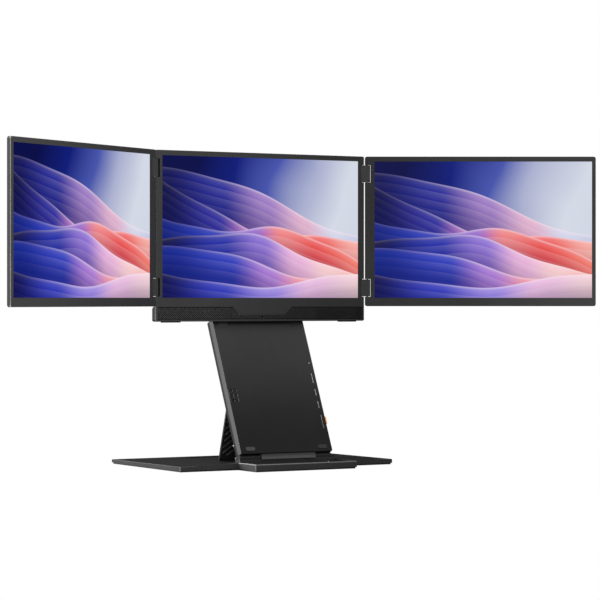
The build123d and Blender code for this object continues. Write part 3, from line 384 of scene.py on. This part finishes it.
def display(name, origin, along):
    """A lit display with soft rolling bands of colour."""
    m, nt, b = new_material(name)
    c = coords(nt)

    def measure(direction, length):
        dot = nt.nodes.new("ShaderNodeVectorMath")
        dot.operation = "DOT_PRODUCT"
        less = nt.nodes.new("ShaderNodeVectorMath")
        less.operation = "SUBTRACT"
        nt.links.new(c, less.inputs[0])
        less.inputs[1].default_value = origin
        nt.links.new(less.outputs[0], dot.inputs[0])
        dot.inputs[1].default_value = direction
        return math_node(nt, "DIVIDE", dot.outputs["Value"], length)

    s = measure(along, DISP_W)
    t = measure((0, 0, 1), DISP_H)

    def wave(rate, start, height):
        angle = math_node(nt, "MULTIPLY_ADD", s, rate * 2 * math.pi, start * 2 * math.pi)
        return math_node(nt, "MULTIPLY", math_node(nt, "SINE", angle), height)

    def crest(base, climb, *waves):
        h = math_node(nt, "MULTIPLY_ADD", s, climb, base)
        for w in waves:
            h = math_node(nt, "ADD", h, wave(*w))
        return h

    # sky: dusk blue on the left, pale on the right
    sky_at = math_node(nt, "ADD", math_node(nt, "MULTIPLY", s, 0.86), math_node(nt, "MULTIPLY", t, -0.22))
    sky_at = math_node(nt, "ADD", sky_at, math_node(nt, "MULTIPLY", noise(nt, c, 9.0, 1.0), 0.16))
    picture = ramp(nt, sky_at, [(0.0, rgb(4, 10, 72)), (0.20, rgb(12, 28, 122)), (0.38, rgb(72, 86, 174)),
                                (0.54, rgb(172, 178, 210)), (0.72, rgb(216, 221, 234)), (1.0, rgb(208, 213, 228))])

    bands = [
        # crest: base, climb, waves; colours along; shade under the crest
        ((0.88, -0.36, (0.70, 0.06, 0.075)), [(0.0, rgb(6, 12, 86)), (0.30, rgb(36, 42, 156)), (0.52, rgb(160, 124, 200)),
                                              (0.72, rgb(228, 180, 208)), (0.88, rgb(216, 218, 238)), (1.0, rgb(200, 206, 232))], 0.34),
        ((0.76, -0.42, (0.85, 0.36, 0.085)), [(0.0, rgb(3, 8, 72)), (0.28, rgb(42, 42, 160)), (0.46, rgb(192, 122, 200)),
                                              (0.62, rgb(250, 154, 154)), (0.80, rgb(244, 98, 92)), (1.0, rgb(250, 172, 162))], 0.30),
        ((0.62, -0.32, (0.95, 0.62, 0.075)), [(0.0, rgb(10, 32, 132)), (0.26, rgb(36, 58, 186)), (0.46, rgb(150, 102, 208)),
                                              (0.60, rgb(246, 134, 134)), (0.78, rgb(240, 80, 74)), (1.0, rgb(246, 122, 106))], 0.26),
        ((0.47, -0.22, (0.90, 0.86, 0.080)), [(0.0, rgb(3, 8, 74)), (0.30, rgb(30, 46, 172)), (0.50, rgb(142, 112, 216)),
                                              (0.68, rgb(238, 182, 224)), (0.84, rgb(252, 208, 210)), (1.0, rgb(250, 178, 170))], 0.28),
        ((0.31, -0.13, (0.80, 0.12, 0.070)), [(0.0, rgb(12, 38, 144)), (0.34, rgb(44, 62, 194)), (0.54, rgb(172, 122, 216)),
                                              (0.72, rgb(244, 152, 162)), (0.88, rgb(238, 84, 76)), (1.0, rgb(224, 64, 60))], 0.22),
        ((0.15, -0.02, (0.75, 0.42, 0.060)), [(0.0, rgb(6, 12, 86)), (0.30, rgb(46, 58, 192)), (0.55, rgb(152, 132, 228)),
                                              (0.76, rgb(238, 192, 230)), (1.0, rgb(250, 216, 222))], 0.20),
    ]
    lit = remap(nt, s, 0.05, 0.55, 0.12, 1.0, smooth=True)
    for (base, climb, w), colours, reach in bands:
        h = crest(base, climb, w, (w[0] * 2.7, w[1] + 0.21, w[2] * 0.16))
        depth = math_node(nt, "SUBTRACT", h, t)
        inside = remap(nt, depth, 0.0, 0.0035, 0.0, 1.0)
        body = ramp(nt, s, colours, "EASE")
        shade = remap(nt, depth, 0.0, reach, 0.0, 0.55, smooth=True)
        body = mix(nt, shade, body, rgb(8, 10, 84))
        # fine terraces that follow the crest
        steps = math_node(nt, "FRACT", math_node(nt, "MULTIPLY", depth, 15.0))
        steps = math_node(nt, "MULTIPLY", remap(nt, steps, 0.0, 1.0, 0.16, 0.0), remap(nt, depth, 0.0, reach, 1.0, 0.0))
        body = mix(nt, math_node(nt, "MULTIPLY", steps, lit), body, rgb(255, 244, 250))
        # a lit edge along the crest
        edge = remap(nt, depth, 0.0, 0.020, 0.46, 0.0)
        body = mix(nt, math_node(nt, "MULTIPLY", edge, lit), body, rgb(255, 236, 244))
        picture = mix(nt, inside, picture, body)

    nt.links.new(picture, b.inputs["Emission Color"])
    b.inputs["Emission Strength"].default_value = 0.96
    b.inputs["Base Color"].default_value = rgb(4, 4, 5)
    b.inputs["Specular IOR Level"].default_value = 0.06
    fine = noise(nt, c, 2400.0, 1.0)
    nt.links.new(remap(nt, fine, 0.3, 0.7, 0.34, 0.46), b.inputs["Roughness"])
    return m


def grille_material():
    # Painted shade: the grille is darker towards the right and in narrow bands along its top and bottom, a painted
    # shadow of the frame's edge.
    m = coated("black grille mesh", rgb(72, 72, 73), rgb(84, 84, 85), (0.5, 0.65), grain=1800.0, specular=0.1,
               fade=[("X", -0.16, 0.16, 1.05, 0.35), ("Z", 0.1966 + LIFT, 0.1972 + LIFT, 0.3, 1.0),
                     ("Z", 0.2111 + LIFT, 0.2117 + LIFT, 1.0, 0.3)])
    return m


grille_metal = grille_material()
board = circuit_board()

assign(stand_metal, "base_cover")
assign(pan_steel, "base_pan")
assign(ballast_steel, "base_ballast")
assign(rubber_black, "base_feet", "kickstand_foot", "chin_feet")
assign(rubber_grey, "panel_pads")
assign(rail_metal, "hinge_rail")
assign(hinge_strip, "hinge_housing")
assign(pin_grey, "lower_hinge_pins")
assign(pin_steel, "screen_hinge_pins", "kickstand_pins")
assign(screw_light, "case_screws", "floor_screw")
assign(pin_dark, "centre_hinge_pins", "left_wing_pins", "right_wing_pins")
assign(panel_metal, "panel_front")
# painted light on the panel's left side face
paint_lit_left_side(panel_metal, rgb(75, 75, 76))
assign(panel_back_metal, "panel_back")
assign(board, "driver_board")
black_board = circuit_board()
nt = black_board.node_tree
b = nt.nodes["Principled BSDF"]
nt.links.new(toned(nt, b.inputs["Base Color"].links[0].from_socket, math_node(nt, "ADD", 0.06, 0.0)), b.inputs["Base Color"])
b.inputs["Specular IOR Level"].default_value = 0.1
assign(black_board, "timing_board")
assign(spreader, "heat_spreader")
assign(nickel, "port_sockets")
assign(lens("status lens", rgb(150, 152, 156), 0.3), "status_led")
assign(bracket_steel, "lower_hinge_bracket", "upper_hinge_lugs", "screen_hinge_leaf")
assign(orange, "power_switch")
assign(button_black, "menu_button", "brightness_button")
assign(kick_metal, "kickstand")
# painted highlight on the kickstand's rib crests
paint_rib_highlights(kick_metal)
assign(left_plastic, "left_bezel")
assign(right_plastic, "right_bezel")
assign(centre_plastic, "centre_bezel")
assign(centre_metal, "centre_back")
assign(left_metal, "left_back")
assign(back_metal, "right_back")
assign(diffuser, "centre_backlight", "left_backlight", "right_backlight")
assign(speaker_black, "left_speaker", "right_speaker", "microphone")
assign(hinge_block, "left_hinge_blocks", "right_hinge_blocks")

assign(display("centre picture", (-DISP_W / 2, 0.0008, DISP_Z0), (1, 0, 0)), "centre_lcd")
r_along = (math.cos(A_WING), -math.sin(A_WING), 0)
r_origin = (WX + PICTURE_IN * r_along[0], WY + PICTURE_IN * r_along[1], DISP_Z0)
assign(display("right picture", r_origin, r_along), "right_lcd")
l_along = (math.cos(A_WING), math.sin(A_WING), 0)
l_far = PICTURE_IN + DISP_W
l_origin = (-(WX + l_far * r_along[0]), WY + l_far * r_along[1], DISP_Z0)
assign(display("left picture", l_origin, l_along), "left_lcd")


# ---------------------------------------------------------------------------
# speaker grille: a plate pierced by a diamond lattice of holes
# ---------------------------------------------------------------------------
def make_object(name, bm, material, smooth=False):
    me = bpy.data.meshes.new(name)
    bm.to_mesh(me)
    bm.free()
    for p in me.polygons:
        p.use_smooth = smooth
    o = bpy.data.objects.new(name, me)
    bpy.context.scene.collection.objects.link(o)
    me.materials.append(material)
    return o


def prism(name, outline, y0, y1):
    """A closed prism of an outline in X and Z, from y0 to y1."""
    bm = bmesh.new()
    front = [bm.verts.new((x, y0, z)) for x, z in outline]
    back = [bm.verts.new((x, y1, z)) for x, z in outline]
    bm.faces.new(front)
    bm.faces.new(back[::-1])
    for i in range(len(outline)):
        j = (i + 1) % len(outline)
        bm.faces.new((front[j], front[i], back[i], back[j]))
    bmesh.ops.recalc_face_normals(bm, faces=bm.faces)
    me = bpy.data.meshes.new(name)
    bm.to_mesh(me)
    bm.free()
    o = bpy.data.objects.new(name, me)
    bpy.context.scene.collection.objects.link(o)
    return o


G0, G1, G2 = 0.1958 + LIFT, 0.2031 + LIFT, 0.2125 + LIFT      # heights of the grille's outline
GRILLE = [(-0.1585, G0), (0.1585, G0), (0.1585, G2), (0.0456, G2),
          (0.0355, G1), (-0.0355, G1), (-0.0456, G2), (-0.1585, G2)]


def in_grille(x, z, margin):
    """Whether a point lies inside the grille's outline by at least a margin."""
    if not (-0.1585 + margin <= x <= 0.1585 - margin and G0 + margin <= z <= G2 - margin):
        return False
    ax = abs(x)
    dx, dz = 0.0456 - 0.0355, G2 - G1
    side = ((ax - 0.0355) * dz - (z - G1) * dx) / math.hypot(dx, dz)
    return side >= margin or z <= G1 - margin


def lattice():
    """A thick sheet of diamond tiles. Tiles well inside the outline have a hole."""
    half, hole = 0.00150, 0.00112
    middle = (G0 + G2) / 2
    y0, y1 = 0.0004, 0.0014
    bm = bmesh.new()
    cache = {}

    def vert(i, j, y):
        key = (i, j, y)
        if key not in cache:
            cache[key] = bm.verts.new((i * half, y, middle + j * half))
        return cache[key]

    ni, nj = 107, 6
    edges_used = {}
    for i in range(-ni, ni + 1):
        for j in range(-nj, nj + 1):
            if (i + j) % 2:
                continue
            x, z = i * half, middle + j * half
            corners = [(i + 1, j), (i, j + 1), (i - 1, j), (i, j - 1)]
            open_tile = in_grille(x, z, half * 0.5)
            outer = {y: [vert(a, b, y) for a, b in corners] for y in (y0, y1)}
            if open_tile:
                r = hole
                inner = {y: [bm.verts.new((x + dx * r, y, z + dz * r)) for dx, dz in ((1, 0), (0, 1), (-1, 0), (0, -1))]
                         for y in (y0, y1)}
                for k in range(4):
                    n = (k + 1) % 4
                    bm.faces.new((outer[y0][k], outer[y0][n], inner[y0][n], inner[y0][k]))
                    bm.faces.new((outer[y1][n], outer[y1][k], inner[y1][k], inner[y1][n]))
                    bm.faces.new((inner[y0][k], inner[y0][n], inner[y1][n], inner[y1][k]))
            else:
                bm.faces.new(outer[y0])
                bm.faces.new(outer[y1][::-1])
            for k in range(4):
                a, b = corners[k], corners[(k + 1) % 4]
                edges_used.setdefault(frozenset((a, b)), []).append((a, b))
    for pair, uses in edges_used.items():
        if len(uses) == 1:
            a, b = uses[0]
            bm.faces.new((vert(*a, y0), vert(*a, y1), vert(*b, y1), vert(*b, y0)))
    bmesh.ops.recalc_face_normals(bm, faces=bm.faces)
    return make_object("speaker_grille_mesh", bm, grille_metal)


grille = lattice()
cutter = prism("grille outline", GRILLE, 0.0, 0.0018)
mod = grille.modifiers.new("trim", "BOOLEAN")
mod.operation = "INTERSECT"
mod.solver = "EXACT"
mod.object = cutter
drill = prism("microphone hole", [(0.0009 * math.cos(math.pi * k / 8), 0.1995 + LIFT + 0.0009 * math.sin(math.pi * k / 8))
                                  for k in range(16)], -0.001, 0.003)
mod = grille.modifiers.new("drill", "BOOLEAN")
mod.operation = "DIFFERENCE"
mod.solver = "EXACT"
mod.object = drill
bpy.context.view_layer.update()
result = bpy.data.meshes.new_from_object(grille.evaluated_get(bpy.context.evaluated_depsgraph_get()))
grille.modifiers.clear()
grille.data = result
if not grille.data.materials:
    grille.data.materials.append(grille_metal)
for o in (cutter, drill):
    bpy.data.objects.remove(o)
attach(grille, "screen")
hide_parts("speaker_grille")


# ---------------------------------------------------------------------------
# printed marks on the panel, beside the switch, buttons and sockets
# ---------------------------------------------------------------------------
# Painted shade: the marks low on the panel are darker.
ink = coated("pale printed ink", rgb(186, 186, 186), rgb(206, 206, 206), (0.5, 0.6), depth=0.00001,
             fade=[("Z", 0.05, 0.09, 0.4, 1.0)])


def dash(bm, x, u, length, width):
    """A thin printed bar along the panel."""
    top = 10.02
    low = 9.98
    ring = [(-width / 2, -length / 2), (width / 2, -length / 2), (width / 2, length / 2), (-width / 2, length / 2)]
    up = [bm.verts.new(on_panel(x + a, u + b, top)) for a, b in ring]
    dn = [bm.verts.new(on_panel(x + a, u + b, low)) for a, b in ring]
    bm.faces.new(up)
    bm.faces.new(dn[::-1])
    for i in range(4):
        j = (i + 1) % 4
        bm.faces.new((dn[i], dn[j], up[j], up[i]))


bm = bmesh.new()
for u, parts in ((108.5, (3.6, 4.6, 3.7)), (87.6, (4.8, 3.6)), (69.9, (3.6, 4.8)), (45.0, (6.0, 4.6, 6.4))):
    total = sum(parts) + 0.9 * (len(parts) - 1)
    at = u - total / 2
    for length in parts:
        dash(bm, 64.2, at + length / 2, length, 0.9)
        at += length + 0.9
bmesh.ops.recalc_face_normals(bm, faces=bm.faces)
marks = make_object("printed_marks", bm, ink)
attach(marks, "panel")

# painted highlights: light strokes on the lips of the vent recesses, standing in for glints where the edges catch the
# light
lip = coated("painted vent lip glint", rgb(92, 92, 93), rgb(108, 108, 109), (0.5, 0.6), depth=0.00001)
bm = bmesh.new()
for x, u, length in ((-62.5, 92.8, 2.4), (-62.5, 85.2, 5.0), (-62.5, 77.9, 2.6),
                     (-56.5, 92.8, 2.0), (-56.5, 85.8, 4.6), (-56.4, 79.3, 4.6)):
    dash(bm, x, u, length, 0.9)
for k in range(6):
    dash(bm, -68.6, 93.0 - 3.3 * k, 1.7, 0.7)
bmesh.ops.recalc_face_normals(bm, faces=bm.faces)
lips = make_object("vent_lips", bm, lip)
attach(lips, "panel")


# ---------------------------------------------------------------------------
# the ribs of the kickstand run on to near its left edge, where they are seen
# ---------------------------------------------------------------------------
def on_strut(x, v, n):
    """A point across the kickstand, down along it and out of its front face, in mm."""
    px, py, pz = on_panel(0, 92.0, -1.0)
    return (x / 1000.0, py + (v * SL - n * CL) / 1000.0, pz + (-v * CL - n * SL) / 1000.0)


bm = bmesh.new()
tilt = math.radians(43)
for row in range(16, 80, 10):
    x1, v1 = -46.8, row + 5.4
    x0 = -58.0
    for _ in range(4):
        v0 = v1 + (x1 - x0) * math.tan(tilt)
        x0 = -(63.0 - 7.0 * v0 / 95.5) + 2.6
    ax, av = 0.6 * math.sin(tilt), 0.6 * math.cos(tilt)
    ring = [(x0 - ax, v0 - av), (x1 - ax, v1 - av), (x1 + ax, v1 + av), (x0 + ax, v0 + av)]
    up = [bm.verts.new(on_strut(a, b, 2.2)) for a, b in ring]
    dn = [bm.verts.new(on_strut(a, b, 1.3)) for a, b in ring]
    bm.faces.new(up)
    bm.faces.new(dn[::-1])
    for i in range(4):
        j = (i + 1) % 4
        bm.faces.new((dn[i], dn[j], up[j], up[i]))
bmesh.ops.recalc_face_normals(bm, faces=bm.faces)
ribs = make_object("kickstand_ribs", bm, kick_metal)
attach(ribs, "kickstand")


# ---------------------------------------------------------------------------
# stage: floor, lights, camera
# ---------------------------------------------------------------------------
def floor():
    bm = bmesh.new()
    bmesh.ops.create_circle(bm, cap_ends=True, segments=96, radius=6.0)
    m, nt, b = new_material("pale floor")
    c = coords(nt)
    length = nt.nodes.new("ShaderNodeVectorMath")
    length.operation = "LENGTH"
    nt.links.new(c, length.inputs[0])
    b.inputs["Base Color"].default_value = (0.05, 0.05, 0.05, 1)
    b.inputs["Roughness"].default_value = 0.9
    b.inputs["Specular IOR Level"].default_value = 0.0
    # the paper sweep glows evenly in the picture and throws little light back
    glow = nt.nodes.new("ShaderNodeEmission")
    glow.inputs["Strength"].default_value = 0.97
    plain = nt.nodes.new("ShaderNodeBsdfDiffuse")
    plain.inputs["Color"].default_value = (0.16, 0.16, 0.16, 1)
    both = nt.nodes.new("ShaderNodeAddShader")
    nt.links.new(b.outputs[0], both.inputs[0])
    nt.links.new(glow.outputs[0], both.inputs[1])
    light_path = nt.nodes.new("ShaderNodeLightPath")
    pick = nt.nodes.new("ShaderNodeMixShader")
    nt.links.new(light_path.outputs["Is Camera Ray"], pick.inputs[0])
    nt.links.new(plain.outputs[0], pick.inputs[1])
    nt.links.new(both.outputs[0], pick.inputs[2])
    clear = nt.nodes.new("ShaderNodeBsdfTransparent")
    blend = nt.nodes.new("ShaderNodeMixShader")
    nt.links.new(remap(nt, length.outputs["Value"], 0.35, 1.6, 0.0, 1.0, smooth=True), blend.inputs[0])
    nt.links.new(pick.outputs[0], blend.inputs[1])
    nt.links.new(clear.outputs[0], blend.inputs[2])
    nt.links.new(blend.outputs[0], nt.nodes["Material Output"].inputs["Surface"])
    return make_object("floor", bm, m)


floor()

scene = bpy.context.scene
scene.view_settings.view_transform = "Standard"
world = bpy.data.worlds.new("studio")
scene.world = world
world.use_nodes = True
wn = world.node_tree
seen = wn.nodes["Background"]
seen.inputs["Color"].default_value = (1, 1, 1, 1)
seen.inputs["Strength"].default_value = 1.0
soft = wn.nodes.new("ShaderNodeBackground")
soft.inputs["Color"].default_value = (1, 1, 1, 1)
way = wn.nodes.new("ShaderNodeTexCoord").outputs["Generated"]
facing = wn.nodes.new("ShaderNodeVectorMath")
facing.operation = "DOT_PRODUCT"
wn.links.new(way, facing.inputs[0])
facing.inputs[1].default_value = Vector((-0.35, -0.9, 0.25)).normalized()
wn.links.new(remap(wn, facing.outputs["Value"], -0.35, 0.8, 0.05, 0.85, smooth=True), soft.inputs["Strength"])
path = wn.nodes.new("ShaderNodeLightPath")
choose = wn.nodes.new("ShaderNodeMixShader")
wn.links.new(path.outputs["Is Camera Ray"], choose.inputs[0])
wn.links.new(soft.outputs[0], choose.inputs[1])
wn.links.new(seen.outputs[0], choose.inputs[2])
wn.links.new(choose.outputs[0], wn.nodes["World Output"].inputs["Surface"])


def softbox(name, place, target, size, power):
    data = bpy.data.lights.new(name, "AREA")
    data.shape = "RECTANGLE"
    data.size, data.size_y = size
    data.energy = power
    o = bpy.data.objects.new(name, data)
    o.location = place
    o.rotation_euler = (Vector(target) - Vector(place)).to_track_quat("-Z", "Y").to_euler()
    scene.collection.objects.link(o)


softbox("left light", (-2.4, 0.75, 0.55), (0, 0, 0.2), (1.2, 1.2), 125)
softbox("top light", (-0.3, -0.5, 2.6), (0, 0, 0.1), (2.0, 2.0), 4)
softbox("front light", (-1.1, -1.9, 1.0), (-0.1, 0, 0.25), (0.8, 0.8), 8)

camera = bpy.data.cameras.new("camera")
camera.lens = 149.71
camera.sensor_width = 36
camera.sensor_fit = "HORIZONTAL"
camera.clip_start = 0.05
camera.clip_end = 100
eye = bpy.data.objects.new("camera", camera)
eye.location = (-1.65016, -2.93941, 0.22275 + LIFT)
eye.rotation_euler = Vector((0.50257, 0.86454, -0.0003)).to_track_quat("-Z", "Y").to_euler()
scene.collection.objects.link(eye)
scene.camera = eye
